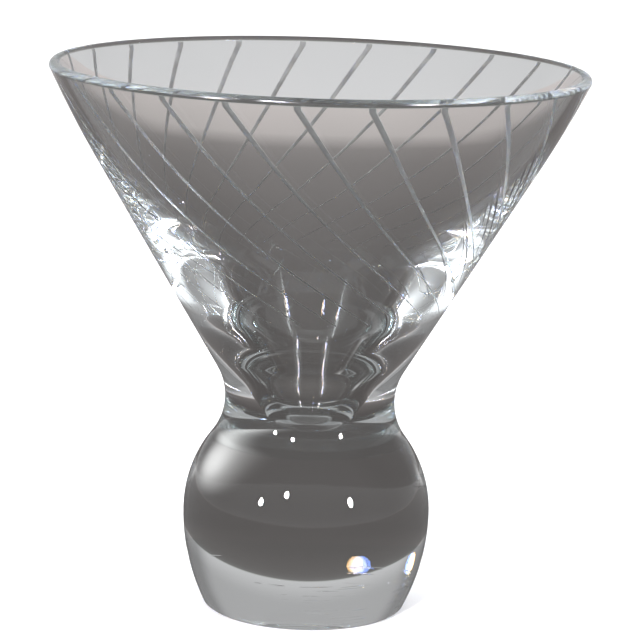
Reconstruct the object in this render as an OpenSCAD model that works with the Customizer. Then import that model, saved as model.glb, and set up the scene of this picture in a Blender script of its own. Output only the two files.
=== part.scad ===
// Stemless martini glass: a cone-shaped bowl fused to a solid glass ball foot.
// The bowl's outer wall carries shallow wheel-cut lines that swirl down from the lip.
// Every outline is a chain of tangent lines and arcs in the radius-height plane,
// turned about the vertical axis. The origin is the centre of the foot, on the table.

/* [Overall] */
// Outer diameter of the lip
rim_d = 115; // [108:0.5:122]
// Height from the table to the top of the lip
height = 118.5; // [114:0.5:122]

/* [Lip] */
// Thickness of the rounded, fire-polished lip
lip_t = 2.2; // [1.8:0.1:3]
// Angle by which the wall straightens up on its way to the lip
lip_turn = 5.3; // [3:0.1:7]
// Radius of the long arc in which the wall straightens up
lip_arc_r = 230; // [150:5:260]

/* [Bowl] */
// Angle between the outer wall and the vertical
wall_angle = 30.8; // [29.5:0.1:32]
// Angle between the inner wall and the vertical
inner_angle = 39.5; // [38:0.1:41]
// Radius of the long arc in which the inner wall straightens up to the lip
inner_arc_r = 180; // [150:5:200]
// Radius of the curve between the inner wall and the tapered bore in the neck
throat_r = 20; // [10:1:25]
// Angle between the bore and the vertical
bore_angle = 18; // [15:0.5:20]
// Radius of the rounded bottom of the bore
well_r = 6.5; // [6:0.1:8]
// Height of the lowest point inside the bowl
well_z = 38.5; // [38.5:0.1:41]

/* [Neck and ball foot] */
// Diameter of the ball
ball_d = 53.8; // [51:0.2:56]
// Height of the ball's widest point
ball_z = 21; // [19:0.5:22]
// Radius of the fuller curve below the widest point
ball_low_r = 46; // [44:1:60]
// Diameter of the flat that it stands on
foot_d = 43; // [40:0.2:43.6]
// Radius of the hollow curve between the ball and the bowl
neck_r = 13.9; // [12:0.1:15]

/* [Cut lines] */
// Number of cut lines round the bowl
cut_count = 24; // [12:1:30]
// Width of a line at the lip
cut_w = 1.4; // [0.8:0.1:1.8]
// Depth of a line at the lip
cut_depth = 0.1; // [0.08:0.01:0.3]
// Share of the width and the depth that is left at the lower end
cut_end_share = 0.15; // [0.1:0.05:0.5]
// Height at which the lines run out
cut_end_z = 68; // [62:1:90]
// Angle that a line swirls through on its way down
cut_swirl = 70; // [20:1:80]
// Share of the swirl that comes late, near the lower end
cut_curl = 0.55; // [0:0.05:0.8]
// Unevenness of the hand-marked spacing, in degrees
cut_drift = 4.8; // [0:0.2:5]

/* [Hidden] */
$fn = 144;
rim_r = rim_d / 2;
ball_r = ball_d / 2;

// Unit vectors in the radius-height plane, for an angle from the vertical
function along(a) = [sin(a), cos(a)];
function outward(a) = [cos(a), -sin(a)];

// Lip: a round bead, and the long arc that leads the outer wall up to it
bead_r = lip_t / 2;
bead_c = [rim_r - bead_r, height - bead_r];
lip_angle = wall_angle - lip_turn;
lip_arc_top = bead_c + bead_r * outward(lip_angle);
lip_arc_c = lip_arc_top - lip_arc_r * outward(lip_angle);
lip_arc_low = lip_arc_c + lip_arc_r * outward(wall_angle);
lip_arc_corner = lip_arc_low + lip_arc_r * tan(lip_turn / 2) * along(wall_angle);

// Neck: an arc that touches both the ball and the straight wall.
// Its centre is neck_r outside the wall and ball_r + neck_r from the ball's centre.
ball_c = [0, ball_z];
from_ball = lip_arc_low + neck_r * outward(wall_angle) - ball_c;
back = from_ball * along(wall_angle);
reach = back - sqrt(back ^ 2 - from_ball * from_ball + (ball_r + neck_r) ^ 2);
neck_c = ball_c + from_ball - reach * along(wall_angle);
neck_top = neck_c - neck_r * outward(wall_angle);
neck_low = ball_c + (neck_c - ball_c) * ball_r / (ball_r + neck_r);
joint_z = neck_low[1];

// Inside, from the top: an arc that touches the lip bead, a straight wall, the throat and a tapered bore
inner_arc_c = bead_c - (bead_r + inner_arc_r) * outward(lip_angle);
inner_arc_top = bead_c - bead_r * outward(lip_angle);
inner_arc_low = inner_arc_c + inner_arc_r * outward(inner_angle);
well_c = [0, well_z + well_r];
well_top = well_c + well_r * outward(bore_angle);

// The throat's centre is throat_r outside both the inner wall and the bore
throat_turn = inner_angle - bore_angle;
from_wall = inner_arc_low * outward(inner_angle) + throat_r;
from_bore = well_top * outward(bore_angle) + throat_r;
throat_c = (from_bore * along(inner_angle) - from_wall * along(bore_angle)) / sin(throat_turn);
throat_top = throat_c - throat_r * outward(inner_angle);
throat_low = throat_c - throat_r * outward(bore_angle);
throat_corner = throat_top - throat_r * tan(throat_turn / 2) * along(inner_angle);

// A point in the glass behind the throat, so that its rounding overlaps the rest of the outline
throat_back = throat_corner + lip_t * outward((inner_angle + bore_angle) / 2);

// Foot: the low arc's centre, and the small bevel round the edge of the flat
low_c = [ball_r - ball_low_r, ball_z];
foot_r = foot_d / 2;
foot_bevel_slope = 0.7;

// Cut lines: where each one starts, and how it runs down the outer wall
cut_steps = 24;
cut_top_z = height - lip_t;
cut_lift = 0.3;
cut_drift_from = 25;
function cut_start(i) = let(a = i * 360 / cut_count) a + cut_drift * sin(a - cut_drift_from);
function cut_z(t) = cut_top_z + t * (cut_end_z - cut_top_z);
function cut_turn(t) = cut_swirl * ((1 - cut_curl) * t + cut_curl * t ^ 3);
function cut_share(t) = 1 + t * (cut_end_share - 1);
function wall_r(z) = z > lip_arc_low[1]
    ? lip_arc_c[0] + sqrt(lip_arc_r ^ 2 - (z - lip_arc_c[1]) ^ 2)
    : lip_arc_low[0] - (lip_arc_low[1] - z) * tan(wall_angle);

// One corner of a line's V section: the two edges are lifted clear of the wall
function cut_corner(i, t, side) =
    let(
        deep = cut_depth * cut_share(t),
        r = wall_r(cut_z(t)),
        half = cut_w / 2 * cut_share(t) * (1 + cut_lift / deep),
        a = cut_start(i) + cut_turn(t) + side * half / r * 180 / PI,
        p = [r, cut_z(t)] + (side == 0 ? -deep : cut_lift) * outward(wall_angle)
    )
    [p[0] * cos(a), p[0] * sin(a), p[1]];

module cut_line(i) {
    corners = [for (k = [0:cut_steps]) for (side = [-1, 0, 1]) cut_corner(i, k / cut_steps, side)];
    last = 3 * cut_steps;
    strips = [
        for (k = [0:cut_steps - 1]) for (j = [0:2])
            let(a = 3 * k + j, b = 3 * k + (j + 1) % 3)
            each [[a, b + 3, b], [a, a + 3, b + 3]]
    ];
    polyhedron(corners, concat([[0, 1, 2]], strips, [[last + 2, last + 1, last]]));
}

module bowl_outline() {
    difference() {
        polygon([
            [0, joint_z], neck_low, neck_top, lip_arc_low, lip_arc_top,
            inner_arc_top, inner_arc_low, throat_top, throat_low, well_top, well_c
        ]);
        translate(neck_c) circle(neck_r);
        translate(inner_arc_c) circle(inner_arc_r, $fn = 4 * $fn);
        translate(well_c) circle(well_r);
    }
    intersection() {
        polygon([throat_top, throat_corner, throat_low, throat_back]);
        translate(throat_c) circle(throat_r);
    }
    intersection() {
        polygon([lip_arc_low, lip_arc_corner, lip_arc_top]);
        translate(lip_arc_c) circle(lip_arc_r, $fn = 4 * $fn);
    }
    translate(bead_c) circle(bead_r);
}

// Below the widest point: the fuller arc, cut off by the flat and its bevel
module low_outline() {
    intersection() {
        translate(low_c) circle(ball_low_r);
        polygon([
            [0, 0], [foot_r, 0], [foot_r + ball_z, ball_z * foot_bevel_slope],
            [foot_r + ball_z, ball_z], [0, ball_z]
        ]);
    }
}

// Above the widest point: the ball itself, cut off at the joint
module high_outline() {
    intersection() {
        translate(ball_c) circle(ball_r);
        translate(ball_c) square([2 * ball_r, joint_z - ball_z]);
    }
}

module bowl() {
    color([0.82, 0.87, 0.86, 0.45])
    difference() {
        rotate_extrude() bowl_outline();
        for (i = [0:cut_count - 1]) cut_line(i);
    }
}

module ball_base() {
    color([0.74, 0.79, 0.78, 0.6])
    union() {
        rotate_extrude() low_outline();
        rotate_extrude() high_outline();
    }
}

bowl();
ball_base();
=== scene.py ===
"""Looks of a stemless martini glass: a clear cone bowl with satin cut lines, fused to a solid ball foot.

Every size is in metres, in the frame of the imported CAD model. Each glass piece is a lathe surface with
exact normals; the cut lines are real relief in the bowl's outer wall.
"""

import json
import math

import bpy
import numpy as np
from mathutils import Euler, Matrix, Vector


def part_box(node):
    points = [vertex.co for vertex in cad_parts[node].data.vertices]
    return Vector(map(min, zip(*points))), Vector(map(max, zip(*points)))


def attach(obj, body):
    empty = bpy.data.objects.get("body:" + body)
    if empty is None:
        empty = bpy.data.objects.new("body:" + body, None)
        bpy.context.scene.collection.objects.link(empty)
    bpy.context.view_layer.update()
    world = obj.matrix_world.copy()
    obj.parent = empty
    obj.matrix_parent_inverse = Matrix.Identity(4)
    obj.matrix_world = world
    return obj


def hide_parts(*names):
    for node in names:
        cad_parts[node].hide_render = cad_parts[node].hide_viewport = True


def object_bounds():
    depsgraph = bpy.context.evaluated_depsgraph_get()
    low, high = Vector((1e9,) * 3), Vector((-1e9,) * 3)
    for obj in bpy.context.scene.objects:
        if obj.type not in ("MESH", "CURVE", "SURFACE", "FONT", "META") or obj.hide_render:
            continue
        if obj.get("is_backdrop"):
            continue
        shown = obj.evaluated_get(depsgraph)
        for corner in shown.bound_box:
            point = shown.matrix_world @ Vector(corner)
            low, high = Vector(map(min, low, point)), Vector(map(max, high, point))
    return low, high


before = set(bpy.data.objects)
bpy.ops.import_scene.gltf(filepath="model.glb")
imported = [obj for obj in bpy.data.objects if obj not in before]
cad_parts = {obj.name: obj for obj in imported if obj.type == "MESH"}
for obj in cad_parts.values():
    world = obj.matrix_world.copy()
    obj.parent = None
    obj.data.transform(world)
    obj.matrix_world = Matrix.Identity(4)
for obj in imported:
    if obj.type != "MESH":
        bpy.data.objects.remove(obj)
cad_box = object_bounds()

MM = 0.001

# ---------------------------------------------------------------- sizes, from the frame and the design
bowl_low, bowl_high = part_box("bowl")
ball_low, ball_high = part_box("ball_base")
HEIGHT = bowl_high.z
RIM_R = bowl_high.x
JOINT_Z = ball_high.z
BALL_R = ball_high.x

WALL_ANGLE = math.radians(30.8)
LIP_ANGLE = math.radians(25.5)
LIP_T = 2.2 * MM
LIP_ARC_R = 230 * MM
NECK_R = 13.9 * MM
INNER_ANGLE = math.radians(39.5)
INNER_ARC_R = 180 * MM
THROAT_R = 20 * MM
BORE_ANGLE = math.radians(18)
WELL_R = 6.5 * MM
WELL_Z = 38.5 * MM
BALL_Z = 21 * MM
BALL_LOW_R = 46 * MM
FOOT_R = 21.5 * MM
FOOT_BEVEL_SLOPE = 0.7

CUTS = 24
CUT_W = 1.4 * MM
CUT_DEPTH = 0.1 * MM
CUT_ROUNDING = 1.7
CUT_END_SHARE = 0.15
CUT_TOP_Z = HEIGHT - LIP_T
CUT_END_Z = 68 * MM
CUT_START_GAP = 0.7 * MM
CUT_START_FADE = 1.4 * MM
CUT_END_FADE = 3 * MM
CUT_SWIRL = math.radians(70)
CUT_CURL = 0.55
CUT_DRIFT = math.radians(4.8)
CUT_DRIFT_FROM = math.radians(25)

JOINT_GAP = 0.01 * MM
SAME_PLACE = 0.0001 * MM
SLOPE_STEP = 0.02 * MM
POLE_HOLE = math.radians(2)


def along(angle):
    """Unit vector (radius, height) at an angle from the vertical."""
    return np.array([math.sin(angle), math.cos(angle)])


def outward(angle):
    """Unit vector (radius, height) square to along(angle), pointing away from the axis."""
    return np.array([math.cos(angle), -math.sin(angle)])


# ---------------------------------------------------------------- outline points, as in the CAD source
BEAD_R = LIP_T / 2
BEAD_C = np.array([RIM_R - BEAD_R, HEIGHT - BEAD_R])
LIP_ARC_C = BEAD_C + (BEAD_R - LIP_ARC_R) * outward(LIP_ANGLE)
LIP_ARC_LOW = LIP_ARC_C + LIP_ARC_R * outward(WALL_ANGLE)
BALL_C = np.array([0, BALL_Z])


def neck_centre():
    """Centre of the arc that touches both the straight wall and the ball."""
    start = LIP_ARC_LOW + NECK_R * outward(WALL_ANGLE) - BALL_C
    back = start @ along(WALL_ANGLE)
    reach = back - math.sqrt(back ** 2 - start @ start + (BALL_R + NECK_R) ** 2)
    return BALL_C + start - reach * along(WALL_ANGLE)


NECK_C = neck_centre()
WELL_C = np.array([0, WELL_Z + WELL_R])
INNER_ARC_C = BEAD_C - (BEAD_R + INNER_ARC_R) * outward(LIP_ANGLE)
INNER_ARC_LOW = INNER_ARC_C + INNER_ARC_R * outward(INNER_ANGLE)
THROAT_C = np.linalg.solve(
    np.array([outward(INNER_ANGLE), outward(BORE_ANGLE)]),
    np.array([INNER_ARC_LOW @ outward(INNER_ANGLE) + THROAT_R,
              WELL_C @ outward(BORE_ANGLE) + WELL_R + THROAT_R]))
LOW_C = np.array([BALL_R - BALL_LOW_R, BALL_Z])


class Outline:
    """A chain of points (radius, height) with the exact surface normal at each."""

    def __init__(self):
        self.points = []
        self.normals = []

    def arc(self, centre, radius, start, end, steps, inside=False):
        """Points round a centre from the direction start to the direction end.

        Directions are angles from +radius towards +height.
        """
        for a in np.linspace(start, end, steps + 1):
            d = np.array([math.cos(a), math.sin(a)])
            self.points.append(centre + radius * d)
            self.normals.append(-d if inside else d)
        return self

    def line(self, start, end, normal, steps):
        """Points strictly between start and end."""
        for t in np.linspace(0, 1, steps + 1)[1:-1]:
            self.points.append(start + t * (end - start))
            self.normals.append(normal)
        return self

    def point(self, place, normal):
        """One point of its own."""
        self.points.append(place)
        self.normals.append(normal)
        return self

    def without_repeats(self):
        """Drops the repeated point where one stretch ends and the next begins."""
        keep = [0]
        for k in range(1, len(self.points)):
            if np.linalg.norm(self.points[k] - self.points[keep[-1]]) > SAME_PLACE:
                keep.append(k)
        self.points = [self.points[k] for k in keep]
        self.normals = [self.normals[k] for k in keep]
        return self


def facing(vector):
    """Direction of a vector (radius, height), as an angle from +radius towards +height."""
    return math.atan2(vector[1], vector[0])


# ---------------------------------------------------------------- relief of the outer wall
def smooth(x):
    """A rise from 0 to 1 that starts and ends gently."""
    x = np.clip(x, 0, 1)
    return x * x * (3 - 2 * x)


def cut_starts():
    """Angles at which the lines start: even, apart from a slow drift round the bowl."""
    even = np.arange(CUTS) * 2 * math.pi / CUTS
    return even + CUT_DRIFT * np.sin(even - CUT_DRIFT_FROM)


def cut_progress(z):
    """0 where the lines start under the lip, 1 where they run out."""
    return np.clip((CUT_TOP_Z - z) / (CUT_TOP_Z - CUT_END_Z), 0, 1)


def cut_turn(z):
    """How far a line has swirled round by a height."""
    t = cut_progress(z)
    return CUT_SWIRL * ((1 - CUT_CURL) * t + CUT_CURL * t ** 3)


def cut_share(z):
    """Share of the width and the depth that a line keeps at a height."""
    return 1 + cut_progress(z) * (CUT_END_SHARE - 1)


def cut_half_angle(r, z):
    """Half a line's width, as an angle round the wall."""
    return CUT_W / 2 * cut_share(z) / r


def cut_relief(phi, r, z):
    """Depth of the cut lines at an angle round the wall, a radius and a height.

    Across a line, a CUT_ROUNDING of 1 would make a V and 2 a round hollow.
    """
    lines = cut_starts()
    turned = (phi - cut_turn(z))[..., None] - lines
    off = (turned + math.pi) % (2 * math.pi) - math.pi
    near = np.abs(off).min(-1) / cut_half_angle(r, z)
    across = np.clip(1 - near ** CUT_ROUNDING, 0, None)
    begins = smooth((HEIGHT - CUT_START_GAP - z) / CUT_START_FADE)
    ends = smooth((z - CUT_END_Z) / CUT_END_FADE)
    return CUT_DEPTH * cut_share(z) * across * begins * ends


# waves round the wall: how many to a turn, where they start and how high they are, in millimetres
WAVES = [(3, 0.9, 0.012), (5, 2.1, 0.009), (9, 4.4, 0.005), (14, 0.3, 0.003), (23, 1.7, 0.002)]
# how far the waves sway round on their way up, how quickly they sway, and how quickly they lean over
WAVE_SWAY = 0.9
SWAY_HEIGHT = 26 * MM
LEAN_HEIGHT = 50 * MM
# what tells the waves of the three walls apart
OUTER_SEED, INNER_SEED, BALL_SEED = 0.0, 1.3, 2.6


def waviness(phi, z, seed):
    """The slight unevenness that blown glass keeps: long waves round the wall that drift with the height."""
    total = 0
    for turns, shift, size in WAVES:
        sway = WAVE_SWAY * np.sin(z / SWAY_HEIGHT + shift + seed) + z / LEAN_HEIGHT
        total = total + size * MM * np.sin(turns * phi + sway + shift * seed)
    return total


# ---------------------------------------------------------------- lathe meshes
def add_object(name, data):
    """Puts a mesh, a light or a camera into the scene."""
    thing = bpy.data.objects.new(name, data)
    bpy.context.scene.collection.objects.link(thing)
    return thing


def lathe_surface(outline, relief, columns):
    """Places and exact normals of a lathe's rings, by ring and column.

    relief(phi, r, z, ring) is how deep the surface lies under the outline. Its slopes, up the wall and round
    it, tilt the outline's normals. columns(z, ring) gives the angles of one ring.
    """
    points = np.array(outline.points)
    normals = np.array(outline.normals)
    rings = len(points)
    r, z = points[:, :1], points[:, 1:]
    phi = np.array([columns(points[k, 1], k) for k in range(rings)])
    ring = np.arange(rings)[:, None]
    step = SLOPE_STEP
    tangents = np.stack([-normals[:, 1], normals[:, 0]], 1)
    depth = relief(phi, r, z, ring)
    up = relief(phi, r + step * tangents[:, :1], z + step * tangents[:, 1:], ring)
    down = relief(phi, r - step * tangents[:, :1], z - step * tangents[:, 1:], ring)
    turn = step / np.maximum(r, MM)
    left = relief(phi + turn, r, z, ring)
    right = relief(phi - turn, r, z, ring)
    slope_up = (up - down) / (2 * step)
    slope_round = (left - right) / (2 * step)
    radial = np.stack([np.cos(phi), np.sin(phi)], -1)
    around = np.stack([-np.sin(phi), np.cos(phi)], -1)
    wall_r = r - depth * normals[:, :1]
    wall_z = z - depth * normals[:, 1:]
    places = np.concatenate([radial * wall_r[..., None], wall_z[..., None]], -1)
    n_r = normals[:, :1] + slope_up * tangents[:, :1]
    n_z = normals[:, 1:] + slope_up * tangents[:, 1:]
    tilted = np.concatenate([radial * n_r[..., None] + around * slope_round[..., None], n_z[..., None]], -1)
    return places, tilted / np.linalg.norm(tilted, axis=-1, keepdims=True)


def lathe(name, outline, relief, columns, discs, materials):
    """Turns an outline into a closed mesh with exact normals.

    relief and columns are as in lathe_surface. discs maps "first" and "last" to (normal, slot), where an end
    ring is closed by a flat disc; an end on the axis is closed by a point instead, and its normal is None.
    materials is (slots, face_slot), where face_slot(ring, column) says which slot a face takes.
    """
    places, directions = lathe_surface(outline, relief, columns)
    rings, count = places.shape[:2]
    slots, face_slot = materials
    verts = places.reshape(-1, 3).tolist()
    vnorm = directions.reshape(-1, 3)
    faces, face_normals, indices = [], [], []
    for k in range(rings - 1):
        a, b = k * count, (k + 1) * count
        for c in range(count):
            d = (c + 1) % count
            quad = (a + c, a + d, b + d, b + c)
            faces.append(quad)
            face_normals.append([vnorm[i] for i in quad])
            indices.append(face_slot(k, c))
    for end, k in (("first", 0), ("last", rings - 1)):
        centre = len(verts)
        normal, slot_index = discs[end]
        verts.append([0, 0, float(places[k, :, 2].mean())])
        pole = normal is None
        middle = np.array([0, 0, np.sign(outline.normals[k][1])]) if pole else np.array(normal, float)
        for c in range(count):
            d = (c + 1) % count
            i, j = k * count + c, k * count + d
            tri = (centre, j, i) if end == "first" else (centre, i, j)
            faces.append(tri)
            rim = [vnorm[n] if pole else middle for n in tri[1:]]
            face_normals.append([middle, *rim])
            indices.append(slot_index)
    mesh = bpy.data.meshes.new(name)
    mesh.from_pydata(verts, [], faces)
    for material in slots:
        mesh.materials.append(material)
    mesh.polygons.foreach_set("material_index", indices)
    mesh.polygons.foreach_set("use_smooth", [True] * len(faces))
    mesh.update()
    mesh.normals_split_custom_set([n for face in face_normals for n in face])
    return add_object(name, mesh)


# ---------------------------------------------------------------- materials
def new_material(name):
    """A material with the glass's own tint inside it, and no surface yet."""
    material = bpy.data.materials.new(name)
    material.use_nodes = True
    nodes = material.node_tree.nodes
    nodes.clear()
    output = nodes.new("ShaderNodeOutputMaterial")
    volume = nodes.new("ShaderNodeVolumeAbsorption")
    volume.inputs["Color"].default_value = (0.7, 0.79, 0.79, 1)
    volume.inputs["Density"].default_value = 1.6
    material.node_tree.links.new(volume.outputs[0], output.inputs["Volume"])
    return material, nodes, material.node_tree.links, output


def glass_shader(nodes, links, output):
    """The surface of clear glass."""
    shader = nodes.new("ShaderNodeBsdfPrincipled")
    shader.inputs["IOR"].default_value = 1.52
    shader.inputs["Transmission Weight"].default_value = 1
    links.new(shader.outputs[0], output.inputs["Surface"])
    return shader


def object_noise(nodes, links, scale, detail=3.0, stretch=(1, 1, 1)):
    """Noise fixed to the object; scale is in features a metre."""
    place = nodes.new("ShaderNodeTexCoord")
    mapping = nodes.new("ShaderNodeMapping")
    mapping.inputs["Scale"].default_value = stretch
    noise = nodes.new("ShaderNodeTexNoise")
    noise.inputs["Scale"].default_value = scale
    noise.inputs["Detail"].default_value = detail
    links.new(place.outputs["Object"], mapping.inputs["Vector"])
    links.new(mapping.outputs["Vector"], noise.inputs["Vector"])
    return noise.outputs["Fac"]


def ring_marks(nodes, links, scale, distortion):
    """Fine circles round the glass's axis; scale is in circles a metre, roughly."""
    place = nodes.new("ShaderNodeTexCoord")
    wave = nodes.new("ShaderNodeTexWave")
    wave.wave_type = "RINGS"
    wave.rings_direction = "Z"
    wave.inputs["Scale"].default_value = scale
    wave.inputs["Distortion"].default_value = distortion
    wave.inputs["Detail"].default_value = 3
    wave.inputs["Detail Scale"].default_value = 2
    links.new(place.outputs["Object"], wave.inputs["Vector"])
    return wave.outputs["Fac"]


def spread(nodes, links, source, start, end, low, high):
    """Maps the stretch from start to end of a pattern onto low to high."""
    level = nodes.new("ShaderNodeMapRange")
    level.interpolation_type = "SMOOTHSTEP"
    for name, value in (("From Min", start), ("From Max", end), ("To Min", low), ("To Max", high)):
        level.inputs[name].default_value = value
    links.new(source, level.inputs["Value"])
    return level.outputs["Result"]


def tints(nodes, links, source, shader, first, second):
    """Colours a shader between two tints."""
    ramp = nodes.new("ShaderNodeValToRGB")
    ends = ramp.color_ramp.elements
    ends[0].position, ends[1].position = 0.35, 0.65
    ends[0].color, ends[1].color = (*first, 1), (*second, 1)
    links.new(source, ramp.inputs[0])
    links.new(ramp.outputs[0], shader.inputs["Base Color"])


def relief_bump(nodes, links, source, shader, height):
    """Turns a pattern into relief of a given height, in metres."""
    bump = nodes.new("ShaderNodeBump")
    bump.inputs["Distance"].default_value = height
    links.new(source, bump.inputs["Height"])
    links.new(bump.outputs[0], shader.inputs["Normal"])


def clear_glass():
    """Fire-polished glass: wiping marks in its gloss, a trace of cloudiness, a skin that isn't quite even."""
    material, nodes, links, output = new_material("clear_glass")
    shader = glass_shader(nodes, links, output)
    wiping = object_noise(nodes, links, 70, 4, (1, 1, 0.35))
    links.new(spread(nodes, links, wiping, 0.58, 0.74, 0, 0.035), shader.inputs["Roughness"])
    cloud = object_noise(nodes, links, 30)
    tints(nodes, links, cloud, shader, (0.965, 0.975, 0.972), (0.99, 0.995, 0.993))
    skin = object_noise(nodes, links, 320, 2)
    relief_bump(nodes, links, skin, shader, 0.0004 * MM)
    return material


def lip_glass():
    """The lip: melted round by the flame, which leaves it a little less even than the polished wall."""
    material, nodes, links, output = new_material("lip_glass")
    shader = glass_shader(nodes, links, output)
    shader.inputs["Base Color"].default_value = (0.965, 0.975, 0.972, 1)
    melted = object_noise(nodes, links, 160, 2)
    links.new(spread(nodes, links, melted, 0.3, 0.7, 0.1, 0.2), shader.inputs["Roughness"])
    return material


def scuffed_glass():
    """Clear glass low on the ball, where years of tables, trays and washing have left scratches."""
    material, nodes, links, output = new_material("scuffed_glass")
    shader = glass_shader(nodes, links, output)
    shader.inputs["Base Color"].default_value = (0.98, 0.985, 0.983, 1)
    lines = spread(nodes, links, object_noise(nodes, links, 60, 2, (1, 1, 42)), 0.61, 0.69, 0, 1)
    where = spread(nodes, links, object_noise(nodes, links, 110, 1, (1, 1, 0.6)), 0.5, 0.58, 0, 1)
    both = nodes.new("ShaderNodeMath")
    both.operation = "MULTIPLY"
    links.new(lines, both.inputs[0])
    links.new(where, both.inputs[1])
    links.new(spread(nodes, links, both.outputs[0], 0, 1, 0, 0.25), shader.inputs["Roughness"])
    relief_bump(nodes, links, both.outputs[0], shader, 0.035 * MM)
    return material


def satin_glass():
    """The ground surface that the cutting wheel leaves: patchy, with fine grit in it."""
    material, nodes, links, output = new_material("satin_cut_glass")
    shader = glass_shader(nodes, links, output)
    patches = object_noise(nodes, links, 260, 3)
    tints(nodes, links, patches, shader, (0.58, 0.58, 0.585), (0.74, 0.745, 0.745))
    links.new(spread(nodes, links, patches, 0.35, 0.65, 0.75, 0.5), shader.inputs["Roughness"])
    grit = object_noise(nodes, links, 2600, 3)
    relief_bump(nodes, links, grit, shader, 0.02 * MM)
    return material


def ground_glass():
    """The flat underneath: ground and polished again, with turning marks and the scratches of use."""
    material, nodes, links, output = new_material("ground_flat_glass")
    shader = glass_shader(nodes, links, output)
    scratches = object_noise(nodes, links, 420, 5, (1, 0.12, 1))
    links.new(spread(nodes, links, scratches, 0.6, 0.72, 0.01, 0.3), shader.inputs["Roughness"])
    wear = object_noise(nodes, links, 90)
    tints(nodes, links, wear, shader, (0.93, 0.94, 0.94), (0.985, 0.99, 0.99))
    relief_bump(nodes, links, ring_marks(nodes, links, 160, 2.5), shader, 0.004 * MM)
    return material


def fused_glass():
    """The face inside the fused joint, where light goes straight on."""
    material, nodes, links, output = new_material("fused_joint")
    shader = nodes.new("ShaderNodeBsdfTransparent")
    links.new(shader.outputs[0], output.inputs["Surface"])
    return material


clear = clear_glass()
satin = satin_glass()
lip = lip_glass()
scuffed = scuffed_glass()
ground = ground_glass()
fused = fused_glass()

# ---------------------------------------------------------------- bowl
# the slots of the bowl's materials
CLEAR, SATIN, FUSED, LIP = range(4)
# steps along each stretch of its outline
NECK_STEPS, WALL_STEPS, LIP_ARC_STEPS, BEAD_STEPS = 26, 66, 22, 28
INNER_ARC_STEPS, INNER_WALL_STEPS, THROAT_STEPS, BORE_STEPS, WELL_STEPS = 26, 20, 16, 10, 16
# columns across a cut line, in half widths of the line, and steps from one line to the next
CUT_OFFSETS = np.array([-1.2, -1, -0.8, -0.55, -0.28, 0, 0.28, 0.55, 0.8, 1, 1.2])
PLAIN_STEPS = 8
# the waves in the glass begin above the neck and end at the lip, each over a stretch of its own
WAVES_FROM_Z = 55 * MM
NECK_FADE = 25 * MM
LIP_FADE = 6 * MM


def bowl_columns(r, z):
    """Angles of one ring of the bowl: close together across each cut line, even in between."""
    starts = cut_starts() + cut_turn(z)
    half = cut_half_angle(r, z)
    angles = []
    for start, after in zip(starts, np.append(starts[1:], starts[0] + 2 * math.pi)):
        line = start + CUT_OFFSETS * half
        plain = np.linspace(line[-1], after + CUT_OFFSETS[0] * half, PLAIN_STEPS + 1)[1:-1]
        angles.extend([*line, *plain])
    return np.array(angles)


def make_bowl():
    """The cone, from the joint up the outside, over the lip and down the inside to the bottom of the well."""
    outline = Outline()
    out, inner, bore = outward(WALL_ANGLE), outward(INNER_ANGLE), outward(BORE_ANGLE)
    neck_low = BALL_C + (NECK_C - BALL_C) * BALL_R / (BALL_R + NECK_R)
    neck_top = NECK_C - NECK_R * out
    outline.arc(NECK_C, NECK_R, facing(neck_low - NECK_C) % (2 * math.pi),
                facing(neck_top - NECK_C) % (2 * math.pi), NECK_STEPS, inside=True)
    outline.line(neck_top, LIP_ARC_LOW, out, WALL_STEPS)
    outline.arc(LIP_ARC_C, LIP_ARC_R, -WALL_ANGLE, -LIP_ANGLE, LIP_ARC_STEPS)
    outline.arc(BEAD_C, BEAD_R, -LIP_ANGLE, math.pi - LIP_ANGLE, BEAD_STEPS).without_repeats()
    lip_first = len(outline.points) - 1 - BEAD_STEPS
    inner_first = len(outline.points) - 1
    outline.arc(INNER_ARC_C, INNER_ARC_R, -LIP_ANGLE, -INNER_ANGLE, INNER_ARC_STEPS, inside=True)
    outline.line(INNER_ARC_LOW, THROAT_C - THROAT_R * inner, -inner, INNER_WALL_STEPS)
    outline.arc(THROAT_C, THROAT_R, math.pi - INNER_ANGLE, math.pi - BORE_ANGLE, THROAT_STEPS)
    outline.line(THROAT_C - THROAT_R * bore, WELL_C + WELL_R * bore, -bore, BORE_STEPS)
    outline.arc(WELL_C, WELL_R, -BORE_ANGLE, POLE_HOLE - math.pi / 2, WELL_STEPS, inside=True)
    outline.without_repeats()
    outline.points[0] = outline.points[0] + np.array([0, JOINT_GAP])

    radii, rows = np.array(outline.points).T

    def columns(z, ring):
        if ring >= inner_first:
            return bowl_columns(RIM_R, HEIGHT)
        return bowl_columns(radii[ring], z)

    def relief(phi, r, z, ring):
        fade = smooth((z - WAVES_FROM_Z) / NECK_FADE) * smooth((HEIGHT - z) / LIP_FADE)
        waves = waviness(phi, z, np.where(ring < inner_first, OUTER_SEED, INNER_SEED)) * fade
        cuts = cut_relief(phi, np.maximum(r, MM), z)
        return np.where(ring <= lip_first, waves + cuts, waves)

    per_line = len(CUT_OFFSETS) - 1 + PLAIN_STEPS

    def face_slot(ring, column):
        in_line = 1 <= column % per_line < len(CUT_OFFSETS) - 2
        if ring >= lip_first:
            return LIP if ring < inner_first else CLEAR
        return SATIN if in_line and CUT_END_Z < rows[ring] else CLEAR

    discs = {"first": ((0, 0, -1), FUSED), "last": (None, CLEAR)}
    return lathe("bowl_glass", outline, relief, columns, discs, ([clear, satin, fused, lip], face_slot))


# ---------------------------------------------------------------- ball foot
# the slots of the ball's materials, where CLEAR and FUSED are as in the bowl
GROUND, SCUFFED = 1, 3
BALL_COLUMNS = 432
BEVEL_STEPS, LOW_STEPS, HIGH_STEPS = 5, 60, 60
# below this height the ball is scratched
SCUFF_Z = 11 * MM
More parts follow.
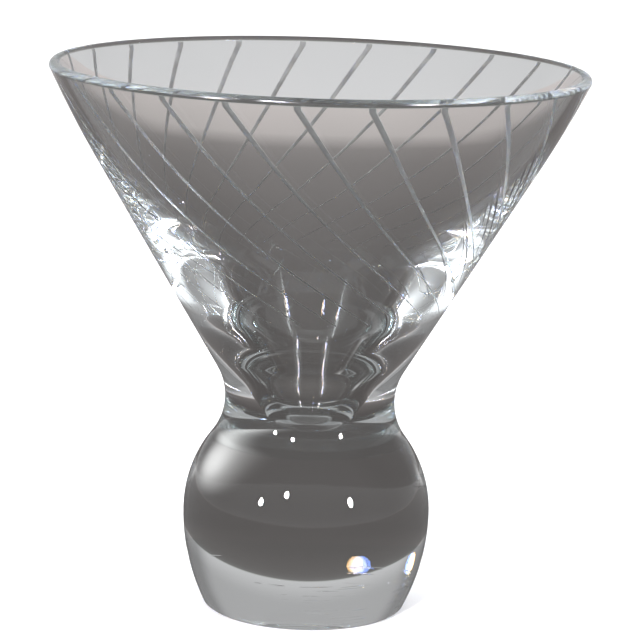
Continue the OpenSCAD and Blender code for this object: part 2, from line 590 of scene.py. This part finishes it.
# the ball's waves: how high they are beside the bowl's, where they begin, and how they fade at both ends
BALL_WAVE_SHARE = 0.6
BALL_WAVES_FROM_Z = 3 * MM
BALL_FADE = 6 * MM


def make_ball():
    """The ball foot, from the edge of its flat up to the joint."""
    outline = Outline()
    # where the bevel's line meets the fuller arc
    bevel = np.array([1, FOOT_BEVEL_SLOPE]) / math.hypot(1, FOOT_BEVEL_SLOPE)
    start = np.array([FOOT_R, 0.0])
    to = start - LOW_C
    reach = -to @ bevel + math.sqrt((to @ bevel) ** 2 - to @ to + BALL_LOW_R ** 2)
    bevel_top = start + reach * bevel
    bevel_normal = np.array([bevel[1], -bevel[0]])
    outline.point(start, bevel_normal)
    outline.line(start, bevel_top, bevel_normal, BEVEL_STEPS)
    outline.arc(LOW_C, BALL_LOW_R, facing(bevel_top - LOW_C), 0, LOW_STEPS)
    joint = facing(NECK_C - BALL_C)
    outline.arc(BALL_C, BALL_R, 0, joint, HIGH_STEPS).without_repeats()
    outline.points[-1] = outline.points[-1] - np.array([0, JOINT_GAP])
    angles = np.linspace(0, 2 * math.pi, BALL_COLUMNS, endpoint=False)

    def columns(z, ring):
        return angles

    def relief(phi, r, z, ring):
        fade = smooth((z - BALL_WAVES_FROM_Z) / BALL_FADE) * smooth((JOINT_Z - z) / BALL_FADE)
        return BALL_WAVE_SHARE * waviness(phi, z, BALL_SEED) * fade

    rows = np.array(outline.points)[:, 1]

    def face_slot(ring, column):
        return SCUFFED if rows[ring] < SCUFF_Z else CLEAR

    discs = {"first": ((0, 0, -1), GROUND), "last": ((0, 0, 1), FUSED)}
    return lathe("ball_glass", outline, relief, columns, discs, ([clear, ground, fused, scuffed], face_slot))


bowl = make_bowl()
ball = make_ball()
for piece, cad_node, slot in ((bowl, "bowl", "bowl_glass"), (ball, "ball_base", "foot_glass")):
    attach(piece, "root")
    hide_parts(cad_node)


# ---------------------------------------------------------------- studio
FLOOR_REACH = 6.0
# how far the floor and the card lie under the foot, so that no two faces share a place
FLOOR_DROP = 0.05 * MM
CARD_DROP = 0.3 * MM


def flat_sheet(name, half_width, half_depth, material):
    """A level rectangle round the origin."""
    mesh = bpy.data.meshes.new(name)
    corners = [(x * half_width, y * half_depth, 0) for x, y in ((-1, -1), (1, -1), (1, 1), (-1, 1))]
    mesh.from_pydata(corners, [], [(0, 1, 2, 3)])
    mesh.materials.append(material)
    return add_object(name, mesh)


def make_floor():
    """The pale floor that the camera sees; the glass sees the table card instead."""
    material = bpy.data.materials.new("pale_floor")
    material.use_nodes = True
    shader = material.node_tree.nodes["Principled BSDF"]
    shader.inputs["Base Color"].default_value = (0.86, 0.86, 0.86, 1)
    shader.inputs["Roughness"].default_value = 0.9
    floor = flat_sheet("floor", FLOOR_REACH, FLOOR_REACH, material)
    floor.location.z = -FLOOR_DROP
    floor.visible_transmission = False
    floor.visible_glossy = False
    floor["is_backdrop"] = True


def emission(name, colour, see_through=False):
    """A surface that glows. A see-through one adds its light to what lies behind it."""
    material = bpy.data.materials.new(name)
    material.use_nodes = True
    nodes, links = material.node_tree.nodes, material.node_tree.links
    nodes.clear()
    output = nodes.new("ShaderNodeOutputMaterial")
    glow = nodes.new("ShaderNodeEmission")
    glow.inputs["Color"].default_value = (*colour, 1)
    surface = glow
    if see_through:
        surface = nodes.new("ShaderNodeAddShader")
        behind = nodes.new("ShaderNodeBsdfTransparent")
        links.new(glow.outputs[0], surface.inputs[0])
        links.new(behind.outputs[0], surface.inputs[1])
    links.new(surface.outputs[0], output.inputs["Surface"])
    return material, nodes, links, glow


def vector_math(nodes, links, operation, *values):
    """Outputs of a sum, product, distance or the like. Each value is a socket or a fixed vector."""
    node = nodes.new("ShaderNodeVectorMath")
    node.operation = operation
    for socket, value in zip(node.inputs, values):
        if isinstance(value, bpy.types.NodeSocket):
            links.new(value, socket)
        else:
            socket.default_value = value
    return node.outputs


def soft_lobe(nodes, links, distance, reach, strength):
    """Light that is strongest in the middle and fades to nothing at its reach."""
    lobe = nodes.new("ShaderNodeMapRange")
    lobe.interpolation_type = "SMOOTHERSTEP"
    lobe.inputs["From Max"].default_value = reach
    lobe.inputs["To Min"].default_value = strength
    lobe.inputs["To Max"].default_value = 0
    links.new(distance, lobe.inputs["Value"])
    return lobe.outputs[0]


# the table's tone against the distance from the glass, and how much wider than deep the table is
TABLE_TONES = [(0, 0.085), (0.08, 0.09), (0.13, 0.115), (0.27, 0.15), (0.45, 0.2), (0.52, 0.24), (0.6, 0.5),
               (0.8, 0.62)]
TABLE_WIDENING = 1.3
TABLE_WARMTH = (1.07, 0.985, 0.965)
# painted light spots, standing in for the lamps' light that the ball gathers on the far side from each lamp:
# each spot's azimuth and distance from the axis, its radius and its strength; the middle lamp's spot has a
# small core in a wide one
PAINTED_LIGHT_SPOTS = [(-44, 42 * MM, 9 * MM, 0.5), (-20, 45 * MM, 11 * MM, 0.4), (-20, 47 * MM, 17 * MM, 0.5),
         (43, 41 * MM, 10 * MM, 0.7)]


def make_table_card():
    """A glowing card, painted as a dark table top, that only the glass sees: it lightens with the distance
    and ends in the light room.

    The bright spots on it are painted light, in place of the lamps' light that the ball foot would gather.
    """
    depth = TABLE_TONES[-1][0]
    material, nodes, links, glow = emission("table_card", (1, 1, 1))
    place = nodes.new("ShaderNodeTexCoord").outputs["Object"]
    unsigned = vector_math(nodes, links, "ABSOLUTE", place)[0]
    scaled = vector_math(nodes, links, "MULTIPLY", unsigned, (1 / TABLE_WIDENING, 1, 1))[0]
    parts = nodes.new("ShaderNodeSeparateXYZ")
    links.new(scaled, parts.inputs[0])
    farther = nodes.new("ShaderNodeMath")
    farther.operation = "MAXIMUM"
    links.new(parts.outputs["X"], farther.inputs[0])
    links.new(parts.outputs["Y"], farther.inputs[1])
    level = nodes.new("ShaderNodeMapRange")
    level.inputs["From Max"].default_value = depth
    links.new(farther.outputs[0], level.inputs["Value"])
    ramp = nodes.new("ShaderNodeValToRGB")
    stops = ramp.color_ramp.elements
    for reach, _ in TABLE_TONES[1:-1]:
        stops.new(reach / depth)
    for stop, (_, tone) in zip(stops, TABLE_TONES):
        stop.color = (*[tone * warmth for warmth in TABLE_WARMTH], 1)
    links.new(level.outputs[0], ramp.inputs[0])
    total = ramp.outputs[0]
    # each painted light spot adds its glow to the card, where the ball foot would gather a lamp's light
    for azimuth, reach, radius, strength in PAINTED_LIGHT_SPOTS:
        a = math.radians(azimuth)
        centre = (-math.sin(a) * reach, math.cos(a) * reach, 0)
        distance = vector_math(nodes, links, "DISTANCE", place, centre)["Value"]
        spot = soft_lobe(nodes, links, distance, radius, strength)
        total = vector_math(nodes, links, "ADD", total, spot)[0]
    links.new(total, glow.inputs["Color"])
    card = flat_sheet("table_card", depth * TABLE_WIDENING, depth, material)
    card.location.z = -CARD_DROP
    card.visible_camera = False
    card.visible_diffuse = False
    card.visible_shadow = False
    card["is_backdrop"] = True


# how bright the room is at each height (-1 straight down, 1 straight up), and at each depth (-1 behind the
# camera, 1 behind the glass): darker to the sides
ROOM_HEIGHTS = [(-1, 0.4), (-0.32, 0.46), (-0.18, 0.7), (-0.06, 0.63), (0.12, 0.42), (1, 0.48)]
ROOM_DEPTHS = [(-1, 1), (-0.5, 0.95), (0, 0.6), (0.56, 0.6), (0.78, 1), (1, 1)]
ROOM_BLUENESS = 1.015


def room_curve(nodes, links, source, tones, blueness):
    """A smooth run of greys along one axis of the room."""
    level = nodes.new("ShaderNodeMapRange")
    level.inputs["From Min"].default_value = -1
    links.new(source, level.inputs["Value"])
    ramp = nodes.new("ShaderNodeValToRGB")
    ramp.color_ramp.interpolation = "EASE"
    stops = ramp.color_ramp.elements
    for place, _ in tones[1:-1]:
        stops.new((place + 1) / 2)
    for stop, (_, tone) in zip(stops, tones):
        stop.color = (tone, tone, tone * blueness, 1)
    links.new(level.outputs[0], ramp.inputs[0])
    return ramp.outputs[0]


def make_world():
    """A light studio, a little darker overhead and to the sides than behind the glass."""
    world = bpy.data.worlds.new("studio")
    bpy.context.scene.world = world
    world.use_nodes = True
    nodes, links = world.node_tree.nodes, world.node_tree.links
    where = nodes.new("ShaderNodeTexCoord")
    parts = nodes.new("ShaderNodeSeparateXYZ")
    links.new(where.outputs["Generated"], parts.inputs[0])
    by_height = room_curve(nodes, links, parts.outputs["Z"], ROOM_HEIGHTS, ROOM_BLUENESS)
    by_depth = room_curve(nodes, links, parts.outputs["Y"], ROOM_DEPTHS, 1)
    product = vector_math(nodes, links, "MULTIPLY", by_height, by_depth)[0]
    links.new(product, nodes["Background"].inputs["Color"])


# the lights and glows face this height on the glass's axis
LIT_HEIGHT = 60 * MM


def place_facing(thing, azimuth, elevation, distance):
    """Puts a thing round the glass and turns it to face the glass.

    Azimuth 0 is the camera's side, 90 the right.
    """
    a, e = math.radians(azimuth), math.radians(elevation)
    away = Vector((math.sin(a) * math.cos(e), -math.cos(a) * math.cos(e), math.sin(e)))
    thing.location = Vector((0, 0, LIT_HEIGHT)) + away * distance
    thing.rotation_mode = "QUATERNION"
    thing.rotation_quaternion = away.to_track_quat("Z", "Y")


def soft_box(name, azimuth, elevation, distance, size, strength, colour=(1, 1, 1)):
    """An area light that faces the glass."""
    light = bpy.data.lights.new(name, "AREA")
    light.shape = "ELLIPSE"
    light.size, light.size_y = size
    light.energy = strength
    light.color = colour
    lamp = add_object(name, light)
    place_facing(lamp, azimuth, elevation, distance)
    lamp.visible_camera = False
    return lamp


# each glow's azimuth and elevation
GLOWS = [("left_glow", -46, 9), ("right_glow", 45, 9)]
# the two lobes of a glow, the larger one first: half width, half height, strength in the middle
GLOW_LOBES = [(0.34, 0.34, 2.4), (0.06, 0.34, 22.0)]
GLOW_DISTANCE = 1.02
GLOW_COLOUR = (0.92, 0.965, 1)


def make_glow(name, azimuth, elevation):
    """A soft glow round a lamp that only the light inside the glass meets: it adds to the room behind it."""
    material, nodes, links, light = emission(name, GLOW_COLOUR, see_through=True)
    material.cycles.emission_sampling = "NONE"
    place = nodes.new("ShaderNodeTexCoord").outputs["Object"]
    parts = []
    for half_width, half_height, strength in GLOW_LOBES:
        scaled = vector_math(nodes, links, "MULTIPLY", place, (1 / half_width, 1 / half_height, 1))[0]
        distance = vector_math(nodes, links, "LENGTH", scaled)["Value"]
        parts.append(soft_lobe(nodes, links, distance, 1, strength))
    add = nodes.new("ShaderNodeMath")
    for part, socket in zip(parts, add.inputs):
        links.new(part, socket)
    links.new(add.outputs[0], light.inputs["Strength"])
    reach = GLOW_LOBES[0][0]
    card = flat_sheet(name, reach, reach, material)
    place_facing(card, azimuth, elevation, GLOW_DISTANCE)
    card.visible_camera = False
    card.visible_diffuse = False
    card.visible_glossy = False
    card.visible_shadow = False
    card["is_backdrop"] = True


# each lamp's azimuth and elevation where the glass mirrors it, and where it is seen through the glass;
# its width and height, and its power
LAMPS = [("left", (-44, 13), (-44, 13), (0.075, 0.125), 5),
         ("middle", (-20, 23.5), (-17, 22.7), (0.075, 0.11), 5),
         ("right", (43, 15.5), (43, 15.5), (0.085, 0.145), 6)]
# what thick glass makes of a lamp: a white core and coloured edges, each so many degrees to the side, in a
# colour, with a share of the lamp's power
FRINGES = [("core", 0, (1, 1, 1), 0.6), ("warm_edge", 0.75, (1, 0.6, 0.2), 0.35),
           ("cool_edge", -0.9, (0.2, 0.36, 1), 0.45)]
LAMP_DISTANCE = 1.0
EDGE_DISTANCE = 1.01


def make_lights():
    """Three lamps, each with its coloured edges, and the soft light from above that whitens the floor."""
    for side, mirrored, (azimuth, elevation), size, power in LAMPS:
        soft_box(side + "_lamp", *mirrored, LAMP_DISTANCE, size, power).visible_transmission = False
        for fringe, shift, colour, share in FRINGES:
            name = f"{side}_{fringe}"
            lamp = soft_box(name, azimuth + shift, elevation, EDGE_DISTANCE, size, power * share, colour)
            lamp.visible_glossy = False
    sky = bpy.data.lights.new("floor_light", "SUN")
    sky.energy = 3.6
    sky.angle = math.radians(60)
    lamp = add_object("floor_light", sky)
    lamp.visible_glossy = False
    lamp.visible_transmission = False
    lamp.visible_camera = False


def make_camera():
    """A long lens a little above the lip, looking down and tilted slightly, as the photo was taken."""
    data = bpy.data.cameras.new("camera")
    data.sensor_width = 36
    data.lens = 159.5
    data.clip_end = 20
    camera = add_object("camera", data)
    camera.location = (0, -0.6005, 0.1879)
    pitch, yaw, roll = math.radians(11.73), math.radians(0.157), math.radians(1.958)
    look = Vector((math.sin(yaw) * math.cos(pitch), math.cos(yaw) * math.cos(pitch), -math.sin(pitch)))
    camera.rotation_mode = "QUATERNION"
    level = look.to_track_quat("-Z", "Y")
    camera.rotation_quaternion = level @ Euler((0, 0, roll)).to_quaternion()
    bpy.context.scene.camera = camera


make_floor()
make_table_card()
make_world()
make_lights()
for glow in GLOWS:
    make_glow(*glow)
make_camera()

# light is mirrored many times inside thick glass, and what is cut off too soon turns black
GLASS_BOUNCES = 96
SEE_THROUGH_BOUNCES = 32

scene = bpy.context.scene
scene.view_settings.view_transform = "Standard"
scene.cycles.max_bounces = GLASS_BOUNCES
scene.cycles.transmission_bounces = GLASS_BOUNCES
scene.cycles.glossy_bounces = GLASS_BOUNCES
scene.cycles.transparent_max_bounces = SEE_THROUGH_BOUNCES

for low, high in (cad_box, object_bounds()):
    json.dumps([list(low), list(high)])
